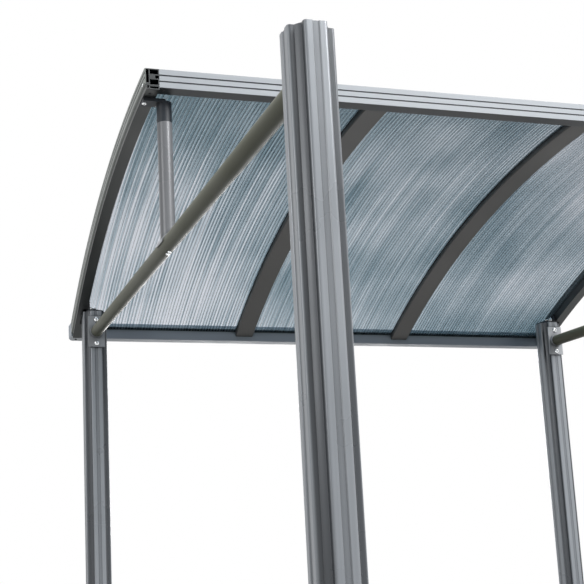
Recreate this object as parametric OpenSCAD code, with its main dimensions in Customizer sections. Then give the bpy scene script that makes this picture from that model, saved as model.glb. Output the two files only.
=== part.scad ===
// Grill gazebo: four fluted aluminium posts, a curved roof frame with three twin-wall
// panels over the rear half, and two side tubes that each carry a strut up to the roof.
// Millimetres. +X is the right side, +Y the rear and +Z up, with the origin on the ground
// under the middle of the whole thing, roof overhang included.

/* [Frame] */
// Distance between the post centres, left to right
post_span = 1400; // [1000:10:2400]
// Distance between the post centres, front to rear
post_depth = 1600; // [1400:10:2200]
// Height of the post tops above the ground
post_h = 2300; // [1800:10:2600]

/* [Post section] */
// Width over two opposite lobes
lobe_span = 64; // [60:1:78]
// Width of one lobe
lobe_w = 32; // [28:1:38]
// Diameter of the round core between the lobes
core_d = 56; // [52:1:60]
// Wall thickness of the post
post_wall = 3; // [2.5:0.1:3.5]
// Radius of the lobe corners
lobe_r = 4; // [3.6:0.1:6]
// Width of the flute along each lobe
flute_w = 10; // [6:1:14]
// Depth of the flute along each lobe
flute_d = 1.4; // [0.8:0.1:1.6]

/* [Feet] */
// Side of the square base plate
foot_w = 130; // [120:5:180]
// Thickness of the base plate
foot_t = 6; // [5:0.5:10]
// Height of the spigot inside the post
spigot_h = 90; // [60:5:140]
// Outer diameter of the spigot, below the post's inside width
spigot_gap = 0.6; // [0.4:0.1:1.2]
// Wall thickness of the spigot
spigot_wall = 4; // [3:0.5:6]
// Diameter of the ground bolt holes
foot_hole_d = 9; // [7:0.5:11]
// Distance between the ground bolt holes
foot_hole_pitch = 100; // [92:2:106]

/* [Side tubes] */
// Outer diameter of the side tubes
tube_d = 31; // [25:1:36]
// Wall thickness of the side tubes and struts
tube_wall = 2; // [1.5:0.1:3]
// Distance from the post tops down to the middle of the side tubes
tube_drop = 58; // [52:1:120]
// Width of a tube flange
flange_w = 44; // [40:1:50]
// Height of a tube flange
flange_h = 84; // [76:1:100]
// Thickness of a tube flange
flange_t = 4; // [3:0.5:6]
// Length of the collar that holds the tube end
collar_len = 8; // [6:1:20]
// Wall thickness of the collar
collar_wall = 2; // [2:0.1:4]
// Distance between the two screws of a tube flange
flange_screw_pitch = 64; // [58:1:70]
// Diameter of the holes for the flange screws
screw_hole_d = 6.4; // [5.2:0.1:7]

/* [Struts] */
// Outer diameter of a strut
strut_d = 30; // [24:1:34]
// Clearance between the back of the front beam and the strut
strut_gap = 4; // [2:1:60]
// Length of the saddle that seats the strut on the side tube
saddle_len = 44; // [36:1:60]
// Thickness of the saddle
saddle_t = 2.5; // [2:0.5:4]
// Height of the spigots inside a strut
strut_spigot_h = 30; // [20:1:50]
// Height of the dark bracket at the top of a strut
strut_cap_h = 46; // [30:1:70]
// Width of the plate at the top of that bracket, front to rear
strut_plate_w = 28; // [20:1:34]
// Thickness of that plate
strut_plate_t = 3; // [2:0.5:5]

/* [Roof] */
// Radius of the roof's curve, at the underside of the side ribs
roof_r = 2050; // [1700:10:2400]
// Height of the underside of the ribs above the post tops, at the front beam
roof_rise = 239; // [220:1:300]
// Distance from the rear posts forward to the front end of the roof
roof_reach = 900; // [860:1:940]
// Slope of the roof at its front end, in degrees
front_slope = 2; // [0:0.1:4]
// How far the middle of a side rib lies outside the post centres
rib_out = 35; // [28:1:40]
// Gap between the rear face of the post and the rear beam
rear_gap = 52; // [30:1:80]

/* [Roof rails] */
// Width of a side rib
rib_w = 30; // [26:1:34]
// Height of a side rib
rib_h = 43; // [40:1:54]
// Height of the front beam
front_h = 38; // [36:1:50]
// Depth of the front beam, front to rear
front_d = 30; // [26:1:40]
// Step from the underside of the ribs up to the underside of the front beam
front_step = 5; // [2:1:8]
// Height of the rear beam
rear_h = 44; // [40:1:54]
// Depth of the rear beam, front to rear
rear_d = 50; // [40:1:60]
// Radius of the rear beam's lower outer edge
rear_r = 12; // [6:1:14]
// Wall thickness of the rails
rail_wall = 2; // [1.6:0.1:2.4]
// Width of the two grooves along a rail's outer face
groove_w = 4; // [1.5:0.1:5]
// Depth of the grooves
groove_d = 1.3; // [0.5:0.1:1.4]
// Step inwards at the foot of a side rib's outer face
rib_step = 3.5; // [2:0.5:4]
// Height of the stepped-in part
rib_step_h = 9; // [7:0.5:11]
// Radius of the lower corners at the rear beam's ends
rear_end_r = 12; // [6:1:16]
// Clearance where a side rib is notched round the post top
notch_gap = 1.5; // [0.5:0.1:3]

/* [Roof brackets] */
// Depth of the plug in the post top
plug_h = 40; // [30:1:60]
// Thickness of the cap on the post top
cap_t = 4; // [3:0.5:5]
// Width of the tongue on the cap, front to rear
tongue_w = 40; // [30:1:46]
// Thickness of the tongue
tongue_t = 6; // [4:0.5:8]
// Height of the tongue above the post top
tongue_h = 26; // [24:1:34]
// Height of the bolt hole above the post top
bracket_hole_h = 13; // [12:1:15]

/* [Roof panels] */
// Thickness of the twin-wall panels
panel_t = 6; // [4:0.5:7]
// Height of the panels' underside above the underside of the ribs
panel_rise = 23; // [21:1:26]
// Depth to which the panel edges slide into the rails
panel_bite = 8; // [5:1:12]
// Clearance round a panel in its slots
panel_gap = 0.4; // [0.2:0.1:0.8]
// Width of a middle rib below the panels
bar_w = 52; // [40:1:60]
// Height of a middle rib below the panels
bar_h = 12; // [8:1:14]
// Width of the cap strip on a middle rib
bar_cap_w = 40; // [34:1:50]
// Thickness of the cap strip and of the web that carries it
bar_t = 3; // [2:0.5:4]

/* [Hidden] */
$fn = 64;

// Posts and side tubes; the roof's overhang behind the rear feet shifts all of it forward
post_x = post_span / 2;
overhang = lobe_span / 2 + rear_gap + rear_d - foot_w / 2;
middle_y = max(0, overhang) / 2;
rear_post_y = post_depth / 2 - middle_y;
tube_z = post_h - tube_drop;
tube_half = post_depth / 2 - lobe_span / 2 - flange_t;
inner_lobe = lobe_span - 2 * post_wall;
inner_w = lobe_w - 2 * post_wall;
inner_core = core_d - 2 * post_wall;
spigot_d = inner_core - spigot_gap;

// Centre line of the roof's curve, and the two ends of the roof
front_y = rear_post_y - roof_reach;
curve_y = front_y - roof_r * sin(front_slope);
curve_z = post_h + roof_rise - roof_r * cos(front_slope);
rear_y = rear_post_y + lobe_span / 2 + rear_gap;
rear_end = rear_y + rear_d;
function under_z(y) = curve_z + sqrt(roof_r * roof_r - (y - curve_y) * (y - curve_y));
front_z = post_h + roof_rise + front_step;
strut_y = front_y + front_d + strut_gap + strut_d / 2;
rear_z = under_z(rear_y);

// Ribs and panels across the width
rib_x = post_x + rib_out;
rib_inner = rib_x - rib_w / 2;
rib_outer = rib_x + rib_w / 2;
bar_x = rib_x / 3;

// Small overlap of cutting shapes past the faces they cut
cut = 1;

// The curve of the roof: children lie in a plane with their first coordinate measured
// outwards from the underside of the ribs and their second towards the left side.
module along_curve(y0, y1) {
    intersection() {
        translate([0, curve_y, curve_z])
            rotate([0, -90, 0])
                rotate([0, 0, -20])
                    rotate_extrude(angle = 90, $fn = 360)
                        translate([roof_r, 0])
                            children();
        translate([-2 * rib_outer, y0, post_h / 2])
            cube([4 * rib_outer, y1 - y0, post_h]);
    }
}

module round_bar(l, w, r) {
    square([l - 2 * r, w], center = true);
    square([l, w - 2 * r], center = true);
    for (sx = [-1, 1], sy = [-1, 1])
        translate([sx * (l / 2 - r), sy * (w / 2 - r)])
            circle(r);
}

module post_outline() {
    difference() {
        union() {
            circle(d = core_d);
            round_bar(lobe_span, lobe_w, lobe_r);
            round_bar(lobe_w, lobe_span, lobe_r);
        }
        for (a = [0:90:270])
            rotate(a)
                polygon([
                    [lobe_span / 2 + cut, flute_w / 2 + cut],
                    [lobe_span / 2 - flute_d, flute_w / 2 - flute_d],
                    [lobe_span / 2 - flute_d, -flute_w / 2 + flute_d],
                    [lobe_span / 2 + cut, -flute_w / 2 - cut]
                ]);
    }
}

module post_hollow() {
    circle(d = inner_core);
    round_bar(inner_lobe, inner_w, lobe_r - post_wall);
    round_bar(inner_w, inner_lobe, lobe_r - post_wall);
}

module post(sx, sy) {
    color("#8b8e92")
        translate([sx * post_x, sy * post_depth / 2 - middle_y, foot_t])
            linear_extrude(post_h - foot_t)
                difference() {
                    post_outline();
                    post_hollow();
                }
}

// Base plate with a round spigot that the post slides over
module foot(sx, sy) {
    color("#7f8286")
        translate([sx * post_x, sy * post_depth / 2 - middle_y, 0])
            difference() {
                union() {
                    translate([-foot_w / 2, -foot_w / 2, 0])
                        cube([foot_w, foot_w, foot_t]);
                    cylinder(d = spigot_d, h = foot_t + spigot_h);
                }
                translate([0, 0, foot_t])
                    cylinder(d = spigot_d - 2 * spigot_wall, h = spigot_h + cut);
                for (hx = [-1, 1], hy = [-1, 1])
                    translate([hx * foot_hole_pitch / 2, hy * foot_hole_pitch / 2, -cut])
                        cylinder(d = foot_hole_d, h = foot_t + 2 * cut);
            }
}

// Plate on the post's inner lobe, with a collar round the tube end
module tube_flange(sx, sy) {
    color("#7b7e80")
        translate([sx * post_x, sy * (tube_half + flange_t) - middle_y, tube_z])
            mirror([0, sy > 0 ? 0 : 1, 0])
                difference() {
                    union() {
                        translate([-flange_w / 2, -flange_t, -flange_h / 2])
                            cube([flange_w, flange_t, flange_h]);
                        rotate([90, 0, 0])
                            cylinder(d = tube_d + 2 * collar_wall, h = flange_t + collar_len);
                    }
                    translate([0, -flange_t, 0])
                        rotate([90, 0, 0])
                            cylinder(d = tube_d, h = collar_len + cut);
                    for (sz = [-1, 1])
                        translate([0, cut, sz * flange_screw_pitch / 2])
                            rotate([90, 0, 0])
                                cylinder(d = screw_hole_d, h = flange_t + 2 * cut);
                }
}

module side_tube(sx) {
    color("#8f9186")
        translate([sx * post_x, tube_half - middle_y, tube_z])
            rotate([90, 0, 0])
                difference() {
                    cylinder(d = tube_d, h = 2 * tube_half);
                    translate([0, 0, -cut])
                        cylinder(d = tube_d - 2 * tube_wall, h = 2 * tube_half + 2 * cut);
                }
}

// Half shell over the side tube, with a spigot up into the strut
module strut_saddle(sx) {
    saddle_d = tube_d + 2 * saddle_t;
    color("#777a7c")
        translate([sx * post_x, strut_y, tube_z])
            difference() {
                union() {
                    intersection() {
                        translate([0, saddle_len / 2, 0])
                            rotate([90, 0, 0])
                                cylinder(d = saddle_d, h = saddle_len);
                        translate([-saddle_d / 2, -saddle_len / 2, 0])
                            cube([saddle_d, saddle_len, saddle_d]);
                    }
                    cylinder(d = strut_d - 2 * tube_wall, h = saddle_d / 2 + strut_spigot_h);
                }
                translate([0, saddle_len / 2 + cut, 0])
                    rotate([90, 0, 0])
                        cylinder(d = tube_d, h = saddle_len + 2 * cut);
            }
}

module strut(sx) {
    saddle_d = tube_d + 2 * saddle_t;
    top = under_z(strut_y) - strut_cap_h - tube_z;
    color("#8f9186")
        translate([sx * post_x, strut_y, tube_z])
            difference() {
                cylinder(d = strut_d, h = top);
                translate([0, 0, -cut])
                    cylinder(d = strut_d - 2 * tube_wall, h = top + 2 * cut);
                translate([0, saddle_len, 0])
                    rotate([90, 0, 0])
                        cylinder(d = saddle_d, h = 2 * saddle_len);
            }
}

// Dark end piece of the strut, with a plate that fits under the side rib
module strut_bracket(sx) {
    top = under_z(strut_y);
    plate_end = rib_x + rib_w / 3;
    color("#23292f")
        difference() {
            union() {
                translate([sx * post_x, strut_y, top - strut_cap_h - strut_spigot_h])
                    cylinder(d = strut_d - 2 * tube_wall, h = strut_spigot_h);
                translate([sx * post_x, strut_y, top - strut_cap_h])
                    cylinder(d = strut_d, h = strut_cap_h - strut_plate_t);
                intersection() {
                    translate([
                        sx > 0 ? post_x : -plate_end,
                        strut_y - strut_plate_w / 2,
                        top - 2 * strut_plate_t
                    ])
                        cube([plate_end - post_x, strut_plate_w, 3 * strut_plate_t]);
                    under_curve(0);
                }
            }
            translate([sx * (rib_x + rib_w / 6), strut_y, top - 3 * strut_plate_t])
                cylinder(d = screw_hole_d, h = 5 * strut_plate_t);
        }
}

// Everything under the roof's curve, or under a curve that lies a given height above it
module under_curve(h) {
    translate([-rib_outer, curve_y, curve_z])
        rotate([0, 90, 0])
            cylinder(r = roof_r + h, h = 2 * rib_outer, $fn = 720);
}

// Dark plug and cap in the post top, with a tongue that bolts to the side rib's inner face
module roof_bracket(sx) {
    tongue_x = rib_inner - post_x - tongue_t;
    color("#1f272c")
        difference() {
            union() {
                translate([sx * post_x, rear_post_y, post_h - plug_h])
                    cylinder(d = spigot_d, h = plug_h);
                translate([sx * post_x, rear_post_y, post_h])
                    cylinder(d = core_d, h = cap_t);
                intersection() {
                    translate([sx * post_x, rear_post_y, post_h])
                        mirror([sx > 0 ? 0 : 1, 0, 0])
                            translate([tongue_x, -tongue_w / 2, 0])
                                cube([tongue_t, tongue_w, tongue_h]);
                    under_curve(panel_rise - 2 * panel_gap);
                }
            }
            translate([sx * post_x, rear_post_y, post_h + bracket_hole_h])
                rotate([0, sx * 90, 0])
                    cylinder(d = screw_hole_d, h = rib_out);
        }
}

// Section of a side rib: closed chambers, a slot for the panel and a fluted outer face
module rib_section() {
    half = rib_w / 2;
    web = rib_w / 6;
    step_top = rib_step_h + rib_step;
    inner_side = -half + rail_wall;
    inside_w = web - rail_wall / 2 - inner_side;
    outer_side = web + rail_wall / 2;
    slot_floor = panel_rise - panel_gap;
    slot_top = panel_rise + panel_t + panel_gap;
    difference() {
        polygon([
            [0, -half], [rib_h, -half], [rib_h, half - rail_wall], [rib_h - rail_wall, half],
            [step_top, half], [rib_step_h, half - rib_step], [0, half - rib_step]
        ]);
        for (i = [1, 2])
            translate([step_top + (rib_h - step_top) * i / 3, half])
                groove();
        translate([step_top + rail_wall / 2, outer_side])
            square([
                rib_h - step_top - 1.5 * rail_wall, half - rail_wall - groove_d - outer_side
            ]);
        translate([rail_wall, outer_side])
            square([rib_step_h - 1.5 * rail_wall, half - rib_step - rail_wall - outer_side]);
        translate([rail_wall, inner_side])
            square([rib_step_h - 2.5 * rail_wall, inside_w]);
        translate([rib_step_h + rail_wall / 2, inner_side])
            square([slot_floor - rib_step_h - 1.5 * rail_wall, inside_w]);
        translate([slot_top + rail_wall, inner_side])
            square([rib_h - slot_top - 2 * rail_wall, inside_w]);
        translate([slot_floor, -half - cut])
            square([slot_top - slot_floor, panel_bite + panel_gap + cut]);
    }
}

// Groove along a rail's face, cut downwards from the second axis
module groove() {
    polygon([
        [-groove_w / 2, cut], [-groove_w / 4, -groove_d],
        [groove_w / 4, -groove_d], [groove_w / 2, cut]
    ]);
}

module rear_beam_outline() {
    translate([rear_y, rear_z]) {
        square([rear_d - rear_r, rear_h]);
        translate([0, rear_r])
            square([rear_d, rear_h - rear_r]);
        translate([rear_d - rear_r, rear_r])
            circle(rear_r);
    }
}

// The rear beam's outline from side to side
module rear_beam_solid() {
    translate([-rib_outer, 0, 0])
        rotate([90, 0, 90])
            linear_extrude(2 * rib_outer)
                rear_beam_outline();
}

module side_rib(sx) {
    color("#7d8076")
        mirror([sx > 0 ? 1 : 0, 0, 0])
            difference() {
                translate([-rib_x, 0, 0])
                    along_curve(front_y, rear_end)
                        rib_section();
                translate([-rib_outer - cut, rear_y, 0])
                    cube([rib_w + 2 * cut, rear_d + cut, rear_z + rear_h]);
                translate([
                    -post_x - lobe_span / 2 - notch_gap, rear_post_y - lobe_span / 2 - notch_gap, 0
                ])
                    cube([
                        lobe_span + 2 * notch_gap, lobe_span + 2 * notch_gap,
                        post_h + cap_t + notch_gap
                    ]);
            }
}

// Box rail between the side ribs, its face in three bands, slotted for the panels
module front_beam() {
    color("#a3a6aa")
        difference() {
            translate([-rib_inner, front_y, front_z])
                rotate([90, 0, 90])
                    linear_extrude(2 * rib_inner)
                        front_section();
            panel_space(front_y + front_d - panel_bite - panel_gap, front_y + front_d + cut);
        }
}

module front_section() {
    slot_z = panel_rise - front_step;
    top_z = slot_z + panel_t + 2 * rail_wall;
    inside_d = front_d - 2 * rail_wall - groove_d;
    difference() {
        square([front_d, front_h]);
        for (i = [1, 2])
            translate([0, front_h * i / 3])
                rotate(90)
                    groove();
        translate([rail_wall + groove_d, rail_wall])
            square([inside_d, slot_z - 3 * rail_wall]);
        translate([rail_wall + groove_d, top_z])
            square([inside_d, front_h - rail_wall - top_z]);
    }
}

// Box rail across the rear under the ribs' ends, solid at both ends, slotted for the panels
module rear_beam() {
    upper_y = panel_bite + 2 * rail_wall;
    upper_z = rear_h / 3 + rail_wall;
    hollow_w = 2 * (rib_outer - rear_end_r - rail_wall);
    color("#6b7480")
        difference() {
            rear_beam_solid();
            translate([-hollow_w / 2, rear_y, rear_z])
                rotate([90, 0, 90])
                    linear_extrude(hollow_w) {
                        translate([rail_wall, rail_wall])
                            square([rear_d - rear_r, rear_h / 3 - rail_wall]);
                        translate([upper_y, upper_z])
                            square([rear_d - rail_wall - upper_y, rear_h - rail_wall - upper_z]);
                    }
            panel_space(rear_y - cut, rear_y + panel_bite + panel_gap);
            for (sx = [-1, 1])
                translate([sx * rib_outer, rear_end + cut, rear_z])
                    rotate([90, 0, 0])
                        linear_extrude(rear_d + 2 * cut)
                            mirror([sx > 0 ? 1 : 0, 0])
                                end_corner();
        }
}

// What rounding takes off a lower corner, which lies at the zero point
module end_corner() {
    difference() {
        translate([-cut, -cut])
            square(rear_end_r + cut);
        translate([rear_end_r, rear_end_r])
            circle(rear_end_r);
    }
}

// Room for the panels with their clearance, between the inner faces of the side ribs
module panel_space(y0, y1) {
    along_curve(y0, y1)
        translate([panel_rise - panel_gap, -rib_inner - panel_bite])
            square([panel_t + 2 * panel_gap, 2 * (rib_inner + panel_bite)]);
}

// Hollow bar under the joint of two panels, with a web and a cap strip above
module middle_rib(sx) {
    cap_h = panel_rise + panel_t + panel_gap;
    low = panel_rise - bar_h;
    color("#8a8d90")
        translate([sx * bar_x, 0, 0])
            along_curve(front_y + front_d, rear_y)
                difference() {
                    union() {
                        polygon([
                            [low, -bar_w / 2 + rail_wall], [low + rail_wall, -bar_w / 2],
                            [panel_rise, -bar_w / 2], [panel_rise, bar_w / 2],
                            [low + rail_wall, bar_w / 2], [low, bar_w / 2 - rail_wall]
                        ]);
                        translate([low, -bar_t / 2])
                            square([cap_h - low + bar_t, bar_t]);
                        translate([cap_h, -bar_cap_w / 2])
                            square([bar_t, bar_cap_w]);
                    }
                    for (side = [-1, 1])
                        translate([low + rail_wall, side * bar_w / 4 - bar_w / 4 + rail_wall])
                            square([bar_h - 2 * rail_wall, bar_w / 2 - 2 * rail_wall]);
                }
}

// Twin-wall sheet, numbered -1, 0 and 1 from the left
module roof_panel(i) {
    web_x = bar_x + bar_t / 2 + panel_gap;
    edge_x = rib_inner + panel_bite;
    left = i < 0 ? -edge_x : i > 0 ? web_x : -bar_x + bar_t / 2 + panel_gap;
    right = i < 0 ? -web_x : i > 0 ? edge_x : bar_x - bar_t / 2 - panel_gap;
    color("#8fa3b3")
        along_curve(front_y + front_d - panel_bite, rear_y + panel_bite)
            translate([panel_rise, -right])
                square([panel_t, right - left]);
}

post(-1, -1);  // post_front_left
post(1, -1);  // post_front_right
post(-1, 1);  // post_rear_left
post(1, 1);  // post_rear_right
foot(-1, -1);  // foot_front_left
foot(1, -1);  // foot_front_right
foot(-1, 1);  // foot_rear_left
foot(1, 1);  // foot_rear_right
tube_flange(-1, -1);  // tube_flange_front_left
tube_flange(1, -1);  // tube_flange_front_right
tube_flange(-1, 1);  // tube_flange_rear_left
tube_flange(1, 1);  // tube_flange_rear_right
side_tube(-1);  // side_tube_left
side_tube(1);  // side_tube_right
strut_saddle(-1);  // strut_saddle_left
strut_saddle(1);  // strut_saddle_right
strut(-1);  // strut_left
strut(1);  // strut_right
strut_bracket(-1);  // strut_bracket_left
strut_bracket(1);  // strut_bracket_right
roof_bracket(-1);  // roof_bracket_left
roof_bracket(1);  // roof_bracket_right
front_beam();
rear_beam();
side_rib(-1);  // side_rib_left
side_rib(1);  // side_rib_right
middle_rib(-1);  // middle_rib_left
middle_rib(1);  // middle_rib_right
roof_panel(-1);  // roof_panel_left
roof_panel(0);  // roof_panel_middle
roof_panel(1);  // roof_panel_right
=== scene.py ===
import bmesh
import bpy
import numpy as np
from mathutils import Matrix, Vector


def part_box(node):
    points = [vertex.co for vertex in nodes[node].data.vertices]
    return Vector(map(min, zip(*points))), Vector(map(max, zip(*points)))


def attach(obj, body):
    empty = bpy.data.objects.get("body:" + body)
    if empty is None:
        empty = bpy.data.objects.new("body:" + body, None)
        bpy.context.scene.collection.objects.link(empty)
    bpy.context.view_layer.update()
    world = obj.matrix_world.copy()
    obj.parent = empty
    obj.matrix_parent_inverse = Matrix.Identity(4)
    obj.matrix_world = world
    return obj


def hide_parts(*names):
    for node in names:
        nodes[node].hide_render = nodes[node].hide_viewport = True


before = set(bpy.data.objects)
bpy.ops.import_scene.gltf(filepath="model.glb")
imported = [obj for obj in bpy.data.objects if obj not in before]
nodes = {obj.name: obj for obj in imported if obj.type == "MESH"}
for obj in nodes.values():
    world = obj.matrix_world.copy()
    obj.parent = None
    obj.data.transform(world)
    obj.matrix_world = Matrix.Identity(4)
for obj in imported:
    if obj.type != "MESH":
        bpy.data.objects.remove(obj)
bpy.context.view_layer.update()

# Camera: a 64 mm lens at a standing person's eyes, in front of the gazebo's left side
# and turned up to the right. Its shift keeps the posts and rails near upright and
# level while the rear left half of the roof fills the view.
rear_left_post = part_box("post_rear_left")
post_x = rear_left_post[0].x / 2 + rear_left_post[1].x / 2
post_y = rear_left_post[0].y / 2 + rear_left_post[1].y / 2
post_top = rear_left_post[1].z
eye_from_post = (-0.4803, -2.7486, -0.6397)
camera_turn = np.radians((100.141, 1.799, -14.060))

lens = bpy.data.cameras.new("camera")
lens.lens = 64.4
lens.shift_x = 0.2
lens.shift_y = 0.12
lens.clip_end = 200
camera = bpy.data.objects.new("camera", lens)
camera.location = np.add((post_x, post_y, post_top), eye_from_post)
camera.rotation_euler = camera_turn
bpy.context.scene.collection.objects.link(camera)
bpy.context.scene.camera = camera


# Studio: white surroundings to the eye and in gloss. Large soft lamps light the
# gazebo from above, from the front right and from behind, with a weak fill on the left.
def linear(hex_colour):
    """A hex colour's red, green and blue as linear light, with an alpha of 1."""
    srgb = np.array([int(hex_colour[i:i + 2], 16) for i in (1, 3, 5)]) / 255
    light = np.where(srgb > 0.04045, ((srgb + 0.055) / 1.055) ** 2.4, srgb / 12.92)
    return (*light.tolist(), 1.0)


def add(tree, kind, inputs=None, **settings):
    """Adds a node: settings are its options, and inputs its sockets' values, or
    links where a value is another node's output."""
    node = tree.nodes.new(kind)
    for option, value in settings.items():
        setattr(node, option, value)
    for socket, value in (inputs or {}).items():
        if isinstance(value, bpy.types.NodeSocket):
            tree.links.new(value, node.inputs[socket])
        else:
            node.inputs[socket].default_value = value
    return node


def seen_rays(tree):
    """1 for rays that come from the eye, a glossy surface or a clear one, else 0."""
    path = add(tree, "ShaderNodeLightPath")
    gloss = add(tree, "ShaderNodeMath", {
        0: path.outputs["Is Camera Ray"], 1: path.outputs["Is Glossy Ray"]})
    return add(tree, "ShaderNodeMath", {
        0: gloss.outputs[0], 1: path.outputs["Is Transmission Ray"]},
        use_clamp=True).outputs[0]


world = bpy.data.worlds.new("studio")
world.use_nodes = True
sky = world.node_tree
sky.nodes.clear()
ambient = add(sky, "ShaderNodeBackground", {"Color": linear("#e6ebf0"), "Strength": 0.26})
white = add(sky, "ShaderNodeBackground", {"Color": linear("#ffffff"), "Strength": 1.0})
surroundings = add(sky, "ShaderNodeMixShader", {
    0: seen_rays(sky), 1: ambient.outputs[0], 2: white.outputs[0]})
add(sky, "ShaderNodeOutputWorld", {"Surface": surroundings.outputs[0]})
bpy.context.scene.world = world
bpy.context.scene.view_settings.view_transform = "Standard"

mid_gazebo = Vector((0, 0, 1.6))
for lamp_name, place, size, power in (
    ("key", (2.8, -4.0, 6.0), 2.8, 380),
    ("top", (-0.8, 0.6, 5.8), 3.0, 120),
    ("fill", (-5.0, -2.0, 3.4), 2.0, 54),
    ("back", (1.8, 6.0, 3.0), 2.5, 230),
):
    lamp = bpy.data.lights.new(lamp_name, "AREA")
    lamp.energy = power
    lamp.size = size
    lamp_object = bpy.data.objects.new(lamp_name, lamp)
    lamp_object.location = place
    aim = mid_gazebo - lamp_object.location
    lamp_object.rotation_euler = aim.to_track_quat("-Z", "Y").to_euler()
    bpy.context.scene.collection.objects.link(lamp_object)

# Floor: pale screed, which keeps the gazebo's shadow near its feet and fades to
# white well beyond them. It gives little light back to the undersides.
floor_half = 14.0
fade_start = 1.6
fade_end = 4.5
floor_mesh = bpy.data.meshes.new("floor")
floor_corners = ((-1, -1), (1, -1), (1, 1), (-1, 1))
floor_mesh.from_pydata(
    [(x * floor_half, y * floor_half, 0.0) for x, y in floor_corners],
    [], [(0, 1, 2, 3)])
floor = bpy.data.objects.new("floor", floor_mesh)
bpy.context.scene.collection.objects.link(floor)
screed = bpy.data.materials.new("pale_screed")
screed.use_nodes = True
tree = screed.node_tree
tree.nodes.clear()
grains = add(tree, "ShaderNodeTexNoise", {
    "Vector": add(tree, "ShaderNodeTexCoord").outputs["Object"], "Scale": 60.0})
tone = add(tree, "ShaderNodeMixRGB", {
    0: grains.outputs[0], 1: linear("#e9e9e6"), 2: linear("#f3f3f1")})
pale = add(tree, "ShaderNodeBsdfPrincipled", {
    "Base Color": tone.outputs[0], "Roughness": 0.85, "Specular IOR Level": 0.2})
from_middle = add(tree, "ShaderNodeVectorMath", {
    0: add(tree, "ShaderNodeTexCoord").outputs["Object"]}, operation="LENGTH")
far_off = add(tree, "ShaderNodeMapRange", {
    "Value": from_middle.outputs["Value"], "From Min": fade_start,
    "From Max": fade_end}, interpolation_type="SMOOTHSTEP")
bright = add(tree, "ShaderNodeEmission", {"Color": linear("#ffffff"), "Strength": 1.0})
shown = add(tree, "ShaderNodeMixShader", {
    0: far_off.outputs[0], 1: pale.outputs[0], 2: bright.outputs[0]})
dull = add(tree, "ShaderNodeBsdfDiffuse", {"Color": linear("#35332f")})
surface = add(tree, "ShaderNodeMixShader", {
    0: seen_rays(tree), 1: dull.outputs[0], 2: shown.outputs[0]})
add(tree, "ShaderNodeOutputMaterial", {"Surface": surface.outputs[0]})
floor_mesh.materials.append(screed)


# Posts: fluted tubes of extruded aluminium, satin anodised in natural grey, 64 mm
# over the lobes. Each slides over the spigot of its foot.
def metal(name, colour, shade, metallic, roughness, grain, wear, line_depth,
          hollow=0.012, ridges=None, specular=0.5):
    """A metal's finish. Grain is the pattern's repeats per metre along X, Y and Z:
    few along the part and many across it give the fine lines of the die, and the
    same number all ways gives the speckle of powder coat. Shade is the colour of
    painted shade in hollows and grooves: corners closer than the hollow distance,
    and what ridges leaves low. Wear lightens the edges, and line_depth is the
    height of the pattern in metres.
    Colour = shade + (colour - shade) x unshaded share x ridges x unevenness, then
    towards the worn colour where the rounded edge turns away from the face."""
    cloud_scale = 7.0
    corner_shut, corner_open = 0.55, 0.97
    stained, unstained, stain = 0.05, 0.45, 0.82
    edge_radius, edge_start, edge_full = 0.0008, 0.97, 0.8
    cloud_low, cloud_high, shinier, duller = 0.3, 0.7, 0.05, 0.06
    relief_strength = 0.6
    worn_colour = linear("#c4c6c8")
    finish = bpy.data.materials.new(name)
    finish.use_nodes = True
    tree = finish.node_tree
    tree.nodes.clear()
    place = add(tree, "ShaderNodeTexCoord").outputs["Object"]
    stretched = add(tree, "ShaderNodeMapping", {"Vector": place, "Scale": grain})
    lines = add(tree, "ShaderNodeTexNoise", {
        "Vector": stretched.outputs[0], "Scale": 1.0, "Detail": 3.0}).outputs[0]
    clouds = add(tree, "ShaderNodeTexNoise", {
        "Vector": place, "Scale": cloud_scale, "Detail": 4.0}).outputs[0]
    uneven = add(tree, "ShaderNodeMath", {0: lines, 1: clouds}, operation="MULTIPLY")
    # Painted shade: the ambient occlusion darkens corners and hollows towards the shade
    # colour.
    corner = add(tree, "ShaderNodeAmbientOcclusion", {"Distance": hollow}, samples=8)
    unshaded_share = add(tree, "ShaderNodeMapRange", {
        "Value": corner.outputs["AO"], "From Min": corner_shut,
        "From Max": corner_open})
    if ridges:
        unshaded_share = add(tree, "ShaderNodeMath", {
            0: unshaded_share.outputs[0], 1: ridges(tree, place)}, operation="MULTIPLY")
    depth = add(tree, "ShaderNodeMapRange", {
        "Value": uneven.outputs[0], "From Min": stained, "From Max": unstained,
        "To Min": stain})
    body = add(tree, "ShaderNodeMixRGB", {
        0: add(tree, "ShaderNodeMath", {
            0: unshaded_share.outputs[0], 1: depth.outputs[0]},
            operation="MULTIPLY").outputs[0],
        1: linear(shade), 2: linear(colour)})
    rounded = add(tree, "ShaderNodeBevel", {"Radius": edge_radius}, samples=4)
    faced = add(tree, "ShaderNodeNewGeometry")
    turn = add(tree, "ShaderNodeVectorMath", {
        0: rounded.outputs[0], 1: faced.outputs["Normal"]}, operation="DOT_PRODUCT")
    edge = add(tree, "ShaderNodeMapRange", {
        "Value": turn.outputs["Value"], "From Min": edge_start,
        "From Max": edge_full, "To Max": wear})
    worn = add(tree, "ShaderNodeMixRGB", {
        0: edge.outputs[0], 1: body.outputs[0], 2: worn_colour})
    gloss = add(tree, "ShaderNodeMapRange", {
        "Value": clouds, "From Min": cloud_low, "From Max": cloud_high,
        "To Min": roughness - shinier, "To Max": roughness + duller})
    relief = add(tree, "ShaderNodeBump", {
        "Height": lines, "Distance": line_depth, "Strength": relief_strength,
        "Normal": rounded.outputs[0]})
    shader = add(tree, "ShaderNodeBsdfPrincipled", {
        "Base Color": worn.outputs[0], "Metallic": metallic,
        "Specular IOR Level": specular,
        "Roughness": gloss.outputs[0], "Normal": relief.outputs[0]})
    add(tree, "ShaderNodeOutputMaterial", {"Surface": shader.outputs[0]})
    return finish


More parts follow.
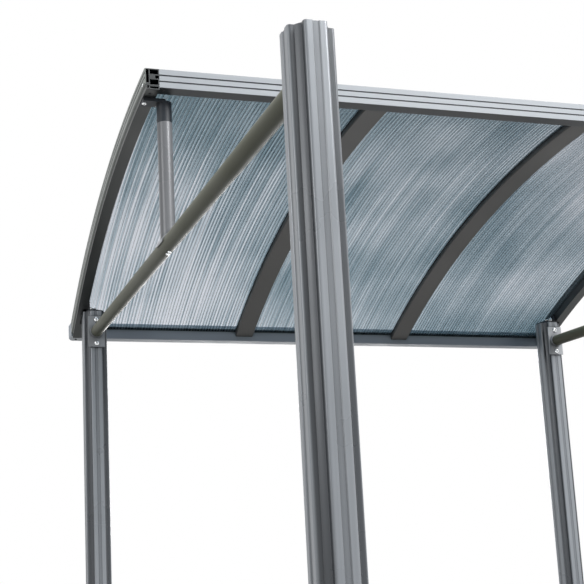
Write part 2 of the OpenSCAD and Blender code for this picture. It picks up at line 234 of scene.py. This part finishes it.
def coat(finish, names):
    """Gives each named part of the frame that finish."""
    for name in names:
        for holder in nodes[name].material_slots:
            holder.material = finish


corners = ("front_left", "front_right", "rear_left", "rear_right")
post_low, post_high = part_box("post_rear_left")
lobe_reach = (post_high.x - post_low.x) / 2
front_post_y = (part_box("post_front_left")[0].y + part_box("post_front_left")[1].y) / 2


def lobe_painted_shade(tree, place):
    """A painted shade mask: 1 on the ridges of a post's lobes and down to 0.2 between
    them, where shade is painted: the larger of the distances across and along from the
    post's axis, measured in the section.
    The sign is dropped twice, so that one formula serves all four posts."""
    ridge_depth = 0.0035
    ridge_flat = 0.0002
    parts = add(tree, "ShaderNodeSeparateXYZ", {"Vector": place})
    reach = []
    for word, centre, middle in (("X", abs(post_x), 0.0),
                                 ("Y", (post_y - front_post_y) / 2,
                                  (post_y + front_post_y) / 2)):
        value = add(tree, "ShaderNodeMath", {
            0: parts.outputs[word], 1: middle}, operation="SUBTRACT").outputs[0]
        for offset in (centre, 0.0):
            out = add(tree, "ShaderNodeMath", {0: value}, operation="ABSOLUTE")
            value = add(tree, "ShaderNodeMath", {
                0: out.outputs[0], 1: offset}, operation="SUBTRACT").outputs[0]
        reach.append(value)
    far = add(tree, "ShaderNodeMath", {0: reach[0], 1: reach[1]}, operation="MAXIMUM")
    return add(tree, "ShaderNodeMapRange", {
        "Value": far.outputs[0], "From Min": lobe_reach - ridge_depth,
        "From Max": lobe_reach - ridge_flat, "To Min": 0.2}).outputs[0]


# Natural anodising: to the eye a soft grey sheen with faint lines along the length.
# Between the ridges of the lobes and in the flutes it is painted darker as shade. The
# die lines are drawn 1.4 mm apart, because the real ones are too fine to show.
coat(metal("natural_anodised_aluminium", "#abb0b6", "#3a3e43", 0.2, 0.3,
           (700, 700, 3), 0.5, 0.00003, ridges=lobe_painted_shade),
     ["post_" + corner for corner in corners])

# Feet: steel plates with a round spigot, zinc primed and powder coated in dark grey,
# each with four holes for ground bolts. The coat is dull and finely speckled, and
# shows paler along worn edges. Its speckle is drawn at 1.1 mm, so that it shows.
coat(metal("grey_powder_coat", "#75787c", "#44464a", 0.1, 0.5,
           (900, 900, 900), 0.35, 0.00004),
     ["foot_" + corner for corner in corners])

# Side tubes and their flanges: steel tube, 31 mm, powder coated in a warm olive
# grey, held at each end in the collar of a flange that is screwed to the post. The
# coat is dull with a soft light line along the tube; the flanges are a paler grey.
olive = metal("olive_grey_powder_coat", "#6a6c5b", "#3a3b34", 0.0, 0.46,
              (1200, 1200, 1200), 0.2, 0.00002, specular=0.2)
coat(olive, ["side_tube_left", "side_tube_right"])
coat(metal("flange_grey_powder_coat", "#bcbfc3", "#84878b", 0.1, 0.4,
           (1200, 1200, 1200), 0.4, 0.00002),
     ["tube_flange_" + corner for corner in corners]
     + ["strut_saddle_left", "strut_saddle_right"])

# Struts: 30 mm steel tube with a smooth grey powder coat, which shines a little more
# than the side tubes'. Each stands on its side tube's saddle and ends in the socket
# of its bracket under the side rib.
coat(metal("strut_grey_powder_coat", "#8b8d91", "#3e4043", 0.1, 0.28,
           (1200, 1200, 1200), 0.2, 0.00002, specular=0.4),
     ["strut_left", "strut_right"])

# Brackets: glass-filled nylon, moulded nearly black with a cast of blue, at the
# strut's upper end and on the rear posts under the roof. The moulded skin is matt
# with a fine grain, drawn at 0.7 mm, and shows hardly any wear.
coat(metal("black_blue_nylon", "#18212b", "#0c1016", 0.0, 0.5,
           (1500, 1500, 1500), 0.1, 0.00003),
     ["strut_bracket_left", "strut_bracket_right",
      "roof_bracket_left", "roof_bracket_right"])

# Screws and bolts: zinc-plated steel. Pan-head screws with a hexagon socket hold the
# flanges, posts, saddles, strut brackets and corners, and an M6 bolt with its washer
# and nut ties each rear post to its rib. A screw's size is its head's width, its
# head's height and the length of its shank.
def shell(name, rings, finish):
    """Closed surface through rings of points: every ring joins the next, each ring
    closes on itself, and the first and last are each drawn together to a point."""
    weld = 1e-6
    sharp_from = np.radians(35)
    count, around = rings.shape[:2]
    points = np.concatenate([rings.mean(1, keepdims=True)[:1].repeat(around, 1), rings,
                             rings.mean(1, keepdims=True)[-1:].repeat(around, 1)])
    index = np.arange((count + 2) * around).reshape(count + 2, around)
    after = np.roll(index, -1, 1)
    faces = np.stack([index[:-1], after[:-1], after[1:], index[1:]], -1).reshape(-1, 4)
    mesh = bpy.data.meshes.new(name)
    mesh.from_pydata(points.reshape(-1, 3).tolist(), [], faces.tolist())
    form = bmesh.new()
    form.from_mesh(mesh)
    bmesh.ops.remove_doubles(form, verts=form.verts, dist=weld)
    bmesh.ops.recalc_face_normals(form, faces=form.faces)
    form.to_mesh(mesh)
    form.free()
    mesh.shade_smooth()
    mesh.set_sharp_from_angle(angle=sharp_from)
    mesh.materials.append(finish)
    piece = bpy.data.objects.new(name, mesh)
    bpy.context.scene.collection.objects.link(piece)
    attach(piece, "root")
    return piece


def turned(name, profile, foot, axis, finish, slot):
    """A profile of (radius, height, hexagon share) turned about an axis from its
    foot: ring point = foot + axis x height + radius x (cos t, sin t). A hexagon
    share of 1 pulls the ring in to a hexagon, whose radius at angle t is
    cos 30 / cos(t - 30), t counted from the last corner."""
    axis = np.array(axis, float) / np.linalg.norm(axis)
    side = np.cross(axis, (0.3, 0.5, 0.81))
    side /= np.linalg.norm(side)
    radius, level, hexagon = np.array(profile, float).T[:, :, None]
    round_steps = 36
    t = np.linspace(0, 2 * np.pi, round_steps, endpoint=False)
    flat = np.cos(np.pi / 6) / np.cos(t % (np.pi / 3) - np.pi / 6)
    reach = radius * (1 + hexagon * (flat - 1))
    rings = (np.array(foot) + level[..., None] * axis
             + (reach * np.cos(t))[..., None] * side
             + (reach * np.sin(t))[..., None] * np.cross(axis, side))
    return shell(name, rings, finish)


def pan_head(name, foot, axis, size, finish=None):
    """A screw: shank behind the face, domed head in front of it, and a hexagon
    socket 0.6 of the head deep. The dome is a quarter of an ellipse."""
    head_d, head_h, length = size
    r = head_d / 2
    bend = np.linspace(0, np.pi / 2, 7)[:-1]
    dome = [(r * (0.45 + 0.55 * np.cos(b)), head_h * (0.2 + 0.8 * np.sin(b)), 0)
            for b in bend]
    profile = [(0.25 * r, -length, 0), (0.42 * r, -length + 0.2 * r, 0), (0.42 * r, 0, 0),
               (0.94 * r, 0, 0), (r, 0.06 * head_h, 0), *dome, (0.44 * r, head_h, 0),
               (0.4 * r, head_h, 1), (0.36 * r, 0.94 * head_h, 1),
               (0.36 * r, 0.4 * head_h, 1), (0.02 * r, 0.34 * head_h, 1)]
    return turned(name, profile, foot, axis, finish or zinc, "rail")


# Zinc plating: to the eye bright, slightly milky and finely speckled
zinc = metal("zinc_plated_steel", "#f6f8fa", "#8d959a", 0.9, 0.22,
             (2500, 2500, 2500), 0.3, 0.00001, hollow=0.002)
flange_t = 0.004
flange_screw = (0.0135, 0.0046, 0.016)
flange_screw_rise = 0.032
foot_screw = (0.0125, 0.004, 0.012)
foot_screw_z = 0.052
for corner in corners:
    low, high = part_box("tube_flange_" + corner)
    way = -1 if corner.startswith("rear") else 1
    face = high.y - flange_t if way < 0 else low.y + flange_t
    for word, rise in (("upper", flange_screw_rise), ("lower", -flange_screw_rise)):
        pan_head(f"flange_screw_{corner}_{word}",
                 ((low.x + high.x) / 2, face, (low.z + high.z) / 2 + rise),
                 (0, way, 0), flange_screw)
    low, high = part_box("post_" + corner)
    way = -1 if corner.endswith("left") else 1
    pan_head("foot_screw_" + corner,
             (low.x if way < 0 else high.x, (low.y + high.y) / 2, foot_screw_z),
             (way, 0, 0), foot_screw)

tube_r = 0.0155
tube_axis_z = post_top - 0.058
saddle_screw = (0.0075, 0.003, 0.008)
saddle_screw_y = 0.008
bracket_screw = (0.010, 0.0032, 0.006)
bracket_screw_x = 0.740
bracket_arm = 0.0062
tongue_t = 0.006
bolt_above_post = 0.013

# The M6 bolt's parts as profiles of (radius, height, hexagon share): an 18 mm washer,
# a nut 10.2 mm across its flats, and 12 mm of bare thread with its ridges and grooves
washer = [(0.0032, 0, 0), (0.0086, 0, 0), (0.0089, 0.0003, 0), (0.0089, 0.0013, 0),
          (0.0086, 0.0016, 0), (0.0032, 0.0016, 0)]
nut = [(0.003, 0.0016, 0), (0.0054, 0.0016, 0.6), (0.0059, 0.0022, 1),
       (0.0059, 0.0066, 1), (0.0054, 0.0072, 0.6), (0.003, 0.0072, 0)]
thread_r = 0.0030
groove = 0.0004
bolt = ([(0.0028, -0.007, 0), (0.0028, 0.006, 0)]
        + [(thread_r - groove * (i % 2), level, 0)
           for i, level in enumerate(np.linspace(0.0074, 0.0190, 25))]
        + [(0.0022, 0.0198, 0)])

for side, way in (("left", 1), ("right", -1)):
    low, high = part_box("strut_saddle_" + side)
    for word, offset in (("front", -saddle_screw_y), ("rear", saddle_screw_y)):
        pan_head(f"saddle_screw_{side}_{word}",
                 ((low.x + high.x) / 2, (low.y + high.y) / 2 + offset,
                  tube_axis_z - tube_r),
                 (0, 0, -1), saddle_screw)
    low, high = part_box("strut_bracket_" + side)
    pan_head("strut_bracket_screw_" + side,
             (-way * bracket_screw_x, (low.y + high.y) / 2, high.z - bracket_arm),
             (0, 0, -1), bracket_screw)
    rib_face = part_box("side_rib_" + side)[1 if way > 0 else 0].x
    foot = (rib_face + way * tongue_t, post_y, post_top + bolt_above_post)
    for word, profile in (("washer", washer), ("nut", nut), ("bolt", bolt)):
        turned(f"bracket_{word}_{side}", profile, foot, (way, 0, 0), zinc, "rail")

# Rails: extruded aluminium box rails, satin anodised. The front one lies between the
# side ribs, and the rear one runs the roof's whole width under the ribs' ends.
front_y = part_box("front_beam")[0].y
band_flat = 0.0004
band_depth = 0.0016


def front_face_painted_shade(tree, place):
    """A painted shade mask: 1 on the bands of the front rail's face and down to 0.1 in
    its grooves and on its other sides, which are painted dark as shade: the distance
    behind the face."""
    behind = add(tree, "ShaderNodeSeparateXYZ", {"Vector": place}).outputs["Y"]
    return add(tree, "ShaderNodeMapRange", {
        "Value": behind, "From Min": front_y + band_depth,
        "From Max": front_y + band_flat, "To Min": 0.1}).outputs[0]


# The front rail's face keeps a bright silver on the bands between its grooves; the
# grooves and the rail's other sides are painted nearly black as shade. The rear rail
# is an even blue-grey. Both have the soft sheen and the fine lines of the die along
# them, drawn 1.4 mm apart to show.
coat(metal("silver_anodised_aluminium", "#ccd2d8", "#2c3238", 0.0, 0.42,
           (3, 700, 700), 0.4, 0.00003, ridges=front_face_painted_shade, specular=0.3),
     ["front_beam"])
coat(metal("rear_rail_anodised_aluminium", "#a3adb9", "#7a8992", 0.1, 0.4,
           (3, 700, 700), 0.4, 0.00003, specular=0.35), ["rear_beam"])

# Ribs: extruded aluminium too, rolled to the roof's curve. The outer faces of the
# side ribs show a pale greenish grey, and their inner faces and undersides are painted
# nearly black as shade, soft with a slight sheen. The middle ribs are drawn dark all
# over as painted shade on their undersides.
rib_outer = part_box("side_rib_right")[1].x
rib_shade_start = 0.004
rib_shade_full = 0.001


def rib_painted_shade(tree, place):
    """A painted shade mask: 1 on the outer faces of the side ribs and down to 0.08 on
    their inner faces and undersides, which are painted dark as shade: the distance
    from the middle of the gazebo, with its sign dropped."""
    aside = add(tree, "ShaderNodeMath", {
        0: add(tree, "ShaderNodeSeparateXYZ", {"Vector": place}).outputs["X"]},
        operation="ABSOLUTE")
    return add(tree, "ShaderNodeMapRange", {
        "Value": aside.outputs[0], "From Min": rib_outer - rib_shade_start,
        "From Max": rib_outer - rib_shade_full, "To Min": 0.08}).outputs[0]


coat(metal("greenish_anodised_aluminium", "#868c87", "#24282c", 0.2, 0.36,
           (700, 40, 40), 0.4, 0.00003, ridges=rib_painted_shade),
     ["side_rib_left", "side_rib_right"])
# Painted shade: the middle ribs take a dark grey all over, for the shade on their
# undersides.
coat(metal("dark_grey_aluminium_in_painted_shade", "#555453", "#333333", 0.1, 0.42,
           (700, 40, 40), 0.4, 0.00003), ["middle_rib_left", "middle_rib_right"])

# Corner screws: small pan heads where each side rib meets the front rail and the
# rear rail. Those in the undersides are plated black, which shows dark and dull, and
# the ones in the ribs' outer faces are bright zinc.
roof_radius = 2.050
roof_rise = 0.239
front_slope = np.radians(2.0)
curve_y = front_y - roof_radius * np.sin(front_slope)
curve_z = post_top + roof_rise - roof_radius * np.cos(front_slope)
face_screw = (0.006, 0.0012, 0.003)
face_screw_y = front_y + 0.017
face_screw_rise = 0.0145
under_screw = (0.0065, 0.0016, 0.0015)
rear_screw = (0.0075, 0.0018, 0.0015)
corner_inset = 0.02
rail_screw_y = front_y + 0.012
rail_screw_inset = 0.01


def height(y, rise):
    """Height of the curve that lies that rise above the roof's own curve, at y:
    the circle's centre plus the root of its radius squared less y squared."""
    radius = roof_radius + rise
    return curve_z + np.sqrt(radius ** 2 - (y - curve_y) ** 2)


black_zinc = metal("black_zinc_plated_steel", "#2a2c2f", "#121314", 0.3, 0.4,
                   (2500, 2500, 2500), 0.4, 0.00001, hollow=0.002)
front_low, front_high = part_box("front_beam")
rear_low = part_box("rear_beam")[0]
for side, way in (("left", -1), ("right", 1)):
    low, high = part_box("side_rib_" + side)
    outer = low.x if way < 0 else high.x
    middle = (low.x + high.x) / 2
    corner_y = front_y + corner_inset
    rail_end = front_low.x if way < 0 else front_high.x
    pan_head("rib_face_screw_" + side,
             (outer, face_screw_y, height(face_screw_y, face_screw_rise)),
             (way, 0, 0), face_screw)
    pan_head("rib_front_screw_" + side, (middle, corner_y, height(corner_y, 0)),
             (0, 0, -1), under_screw, black_zinc)
    pan_head("rib_rear_screw_" + side,
             (middle, rear_low.y + corner_inset, rear_low.z),
             (0, 0, -1), rear_screw, black_zinc)
    pan_head("beam_screw_" + side,
             (rail_end - way * rail_screw_inset, rail_screw_y, front_low.z),
             (0, 0, -1), under_screw, black_zinc)

# Seals: thin beads of grey rubber, pushed in where a panel's underside meets a rail,
# so that no rain runs back under the sheet. Rubber is matt and even, with the bloom
# of age in a fine speckle.
panel_rise = 0.023
rubber = metal("smoke_grey_rubber", "#39474d", "#1c2428", 0.0, 0.6,
               (1800, 1800, 1800), 0.0, 0.00002)
bead_w = 0.0016
bead_h = 0.0012


def bead(name, path, aside, inward):
    """A rubber bead along a path: its section is half an ellipse that hangs from the
    panel and lies against the rail, carried from point to point of the path."""
    t = np.linspace(0, np.pi, 8)
    across = bead_w / 2 * (1 + np.cos(t)) * inward
    down = -bead_h * np.sin(t)
    rings = (path[:, None] + across[:, None] * np.array(aside, float)
             + down[:, None] * np.array((0.0, 0.0, 1.0)))
    return shell(name, rings, rubber)


back_y = rear_low.y
beam_back = front_high.y
rib_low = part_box("side_rib_right")[0]
bar_low, bar_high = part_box("middle_rib_right")
run_y = np.linspace(beam_back, back_y, 40)
edges = (("outer_left", -rib_low.x, 1), ("inner_left_a", -bar_high.x, -1),
         ("inner_left_b", -bar_low.x, 1), ("inner_right_a", bar_low.x, -1),
         ("inner_right_b", bar_high.x, 1), ("outer_right", rib_low.x, -1))
for word, x, inward in edges:
    path = np.stack([np.full_like(run_y, x), run_y, height(run_y, panel_rise)], 1)
    bead("seal_" + word, path, (1, 0, 0), inward)
for word, start, end in (("left", -rib_low.x, -bar_high.x),
                         ("middle", -bar_low.x, bar_low.x),
                         ("right", bar_high.x, rib_low.x)):
    for place, y, inward in (("front", beam_back, 1), ("rear", back_y, -1)):
        path = np.array([(x, y, height(y + inward * bead_w / 2, panel_rise))
                         for x in (start, end)])
        bead(f"seal_{place}_{word}", path, (0, 1, 0), inward)


# Roof panels: three twin-wall polycarbonate sheets, 6 mm thick, extruded in a smoky
# blue and bent cold into the slots of the rails. The real webs stand 6 mm apart,
# which is too fine to show, so they are drawn 8.5 mm apart.
panel_t = 0.006
skin = 0.0006
web_pitch = 0.0085
steps = 56


def twin_wall(low, high):
    """Points and faces of a twin-wall sheet. The section is a lattice of lines in x
    (both sides of every web) and four heights (both faces of both skins), carried
    back along the curve. Each channel is left open between its four inner faces."""
    channels = round((high.x - low.x - skin) / web_pitch)
    starts = np.linspace(low.x, high.x - skin, channels + 1)
    x = np.stack([starts, starts + skin], 1).ravel()
    rises = panel_rise + np.array([0, skin, panel_t - skin, panel_t])
    y = np.linspace(low.y, high.y, steps + 1)
    grid_y, grid_x, grid_rise = np.meshgrid(y, x, rises, indexing="ij")
    points = np.stack([grid_x, grid_y, height(grid_y, grid_rise)], 3)
    index = np.arange(points.size // 3).reshape(points.shape[:3])

    def strips(a, b):
        """Quads between two lines of points, both taken step by step along y."""
        return np.stack([a[:-1], b[:-1], b[1:], a[1:]], -1).reshape(-1, 4)

    lower, upper = index[:, 1:-1:2], index[:, 2:-1:2]
    parts = [
        strips(index[:, :-1, 0], index[:, 1:, 0])[:, ::-1],
        strips(index[:, :-1, 3], index[:, 1:, 3]),
        strips(index[:, 0, :-1], index[:, 0, 1:]),
        strips(index[:, -1, :-1], index[:, -1, 1:])[:, ::-1],
        strips(lower[:, :, 1], upper[:, :, 1]),
        strips(lower[:, :, 2], upper[:, :, 2])[:, ::-1],
        strips(lower[:, :, 1], lower[:, :, 2])[:, ::-1],
        strips(upper[:, :, 1], upper[:, :, 2]),
    ]
    for end, turned in ((index[0], 1), (index[-1], -1)):
        cells = np.stack([end[:-1, :-1], end[1:, :-1], end[1:, 1:], end[:-1, 1:]], -1)
        solid = np.ones(cells.shape[:2], bool)
        solid[1::2, 1] = False
        parts.append(cells[solid][:, ::turned])
    webs = np.concatenate([np.full(len(p), i in (6, 7), np.int32)
                           for i, p in enumerate(parts)])
    return points.reshape(-1, 3), np.concatenate(parts), webs


def sheet_finish(name, deep, pale, veil, share, roughness):
    """Smoked polycarbonate, seen through by its tint and veiled by its share of
    milky body colour, with a soft gloss that grows at a grazing look.
    Tint = deep + (pale - deep) x level. The level is the fine lines (flutes and
    streaks, less their mean, x how clear they are) plus soft clouds of painted
    reflection plus X x run, a painted light and shade: deep at the front left, pale
    at the rear left, and the other way about on the right."""
    web_streaks = (290, 1.2, 1.2)
    wave_repeat = 0.31416
    flute_share = 0.17
    reflection_scale = 2.6
    reflection_share = 0.7
    line_mean = 0.585
    level_mean = 0.55
    level_low, level_high = 0.51, 1.06
    roof_run = 0.95
    run_front, run_rear = 0.45, -0.3
    roof_half = 0.72
    clear_left, clear_right = 1.4, 0.5
    graze_power = 4.0
    finish = bpy.data.materials.new(name)
    finish.use_nodes = True
    tree = finish.node_tree
    tree.nodes.clear()
    place = add(tree, "ShaderNodeTexCoord").outputs["Object"]
    along = add(tree, "ShaderNodeMapping", {"Vector": place, "Scale": web_streaks})
    streaks = add(tree, "ShaderNodeTexNoise", {
        "Vector": along.outputs[0], "Scale": 1.0, "Detail": 2.0, "Roughness": 0.6})
    flutes = add(tree, "ShaderNodeTexWave", {
        "Vector": place, "Scale": wave_repeat / web_pitch}, wave_type="BANDS",
        bands_direction="X")
    # Painted reflection: soft clouds in the tint stand for the surroundings mirrored in
    # the sheet.
    reflection_clouds = add(tree, "ShaderNodeTexNoise", {
        "Vector": place, "Scale": reflection_scale, "Detail": 2.0})
    slope = add(tree, "ShaderNodeSeparateXYZ", {"Vector": place})
    # Painted light and shade: the tint runs deep at the front left and rear right, pale
    # at the rear left and front right.
    run = add(tree, "ShaderNodeMapRange", {
        "Value": slope.outputs["Y"], "From Min": front_y,
        "From Max": front_y + roof_run, "To Min": run_front, "To Max": run_rear})
    aside = add(tree, "ShaderNodeMath", {
        0: slope.outputs["X"], 1: run.outputs[0]}, operation="MULTIPLY")
    lines = add(tree, "ShaderNodeMath", {
        0: flutes.outputs["Fac"], 1: flute_share, 2: streaks.outputs[0]},
        operation="MULTIPLY_ADD")
    from_mean = add(tree, "ShaderNodeMath", {0: lines.outputs[0], 1: line_mean},
                    operation="SUBTRACT")
    clarity = add(tree, "ShaderNodeMapRange", {
        "Value": slope.outputs["X"], "From Min": -roof_half, "From Max": roof_half,
        "To Min": clear_left, "To Max": clear_right})
    fine = add(tree, "ShaderNodeMath", {
        0: from_mean.outputs[0], 1: clarity.outputs[0], 2: level_mean},
        operation="MULTIPLY_ADD")
    coarse = add(tree, "ShaderNodeMath", {
        0: reflection_clouds.outputs[0], 1: reflection_share, 2: aside.outputs[0]},
        operation="MULTIPLY_ADD")
    mixed = add(tree, "ShaderNodeMath", {0: fine.outputs[0], 1: coarse.outputs[0]})
    level = add(tree, "ShaderNodeMapRange", {
        "Value": mixed.outputs[0], "From Min": level_low, "From Max": level_high})
    tint = add(tree, "ShaderNodeMixRGB", {
        0: level.outputs[0], 1: linear(deep), 2: linear(pale)})
    body = add(tree, "ShaderNodeBsdfPrincipled", {
        "Base Color": linear(veil), "Roughness": roughness, "IOR": 1.585})
    clear = add(tree, "ShaderNodeBsdfTransparent", {"Color": tint.outputs[0]})
    graze = add(tree, "ShaderNodeLayerWeight", {"Blend": 0.5}).outputs["Facing"]
    mirrored = add(tree, "ShaderNodeMath", {0: graze, 1: graze_power},
                   operation="POWER")
    opaque = add(tree, "ShaderNodeMath", {
        0: mirrored.outputs[0], 1: share}, use_clamp=True)
    shader = add(tree, "ShaderNodeMixShader", {
        0: opaque.outputs[0], 1: clear.outputs[0], 2: body.outputs[0]})
    add(tree, "ShaderNodeOutputMaterial", {"Surface": shader.outputs[0]})
    return finish


skin_finish = sheet_finish("smoked_polycarbonate", "#c5d2d7", "#fafbfd",
                           "#8b9ca4", 0.06, 0.2)
web_finish = sheet_finish("polycarbonate_webs", "#c6d2d8", "#fbfcfd",
                          "#a3b1b8", 0.1, 0.2)

for panel_name in ("roof_panel_left", "roof_panel_middle", "roof_panel_right"):
    points, faces, kinds = twin_wall(*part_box(panel_name))
    mesh = bpy.data.meshes.new(panel_name + "_sheet")
    mesh.from_pydata(points.tolist(), [], faces.tolist())
    mesh.materials.append(skin_finish)
    mesh.materials.append(web_finish)
    mesh.polygons.foreach_set("material_index", kinds)
    sheet = bpy.data.objects.new(panel_name + "_sheet", mesh)
    bpy.context.scene.collection.objects.link(sheet)
    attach(sheet, "root")
    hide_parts(panel_name)
